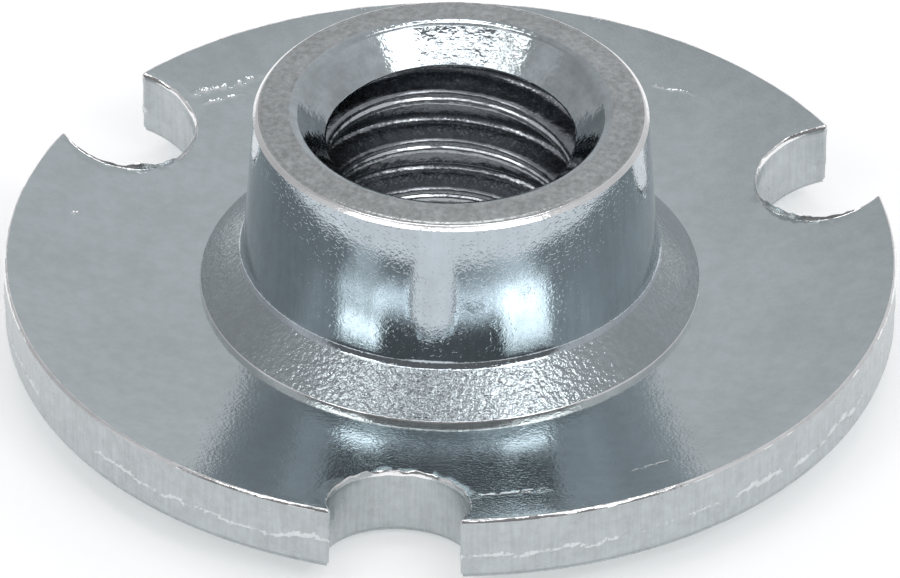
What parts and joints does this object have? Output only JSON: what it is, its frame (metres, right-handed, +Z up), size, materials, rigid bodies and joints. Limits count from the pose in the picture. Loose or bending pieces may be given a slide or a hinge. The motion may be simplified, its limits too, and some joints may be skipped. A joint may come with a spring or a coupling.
{
  "type": "tee nut",
  "caption": "Round flanged tee nut of plated sheet steel, with a short threaded barrel and open notches round its rim, for a bolted fastening in wood or board.",
  "frame": {"origin": "centre of the flat underside, on the thread's axis", "axes": "+Z up the thread's axis towards the barrel's mouth; the first of the rim notches faces -Y"},
  "size_m": [0.019, 0.0189, 0.0059],
  "materials": {
    "zinc_plated_steel": "bright zinc plating, satin on the flange and polished on the barrel"
  },
  "bodies": {
    "root": {"tee_nut": "zinc_plated_steel"}
  },
  "joints": []
}
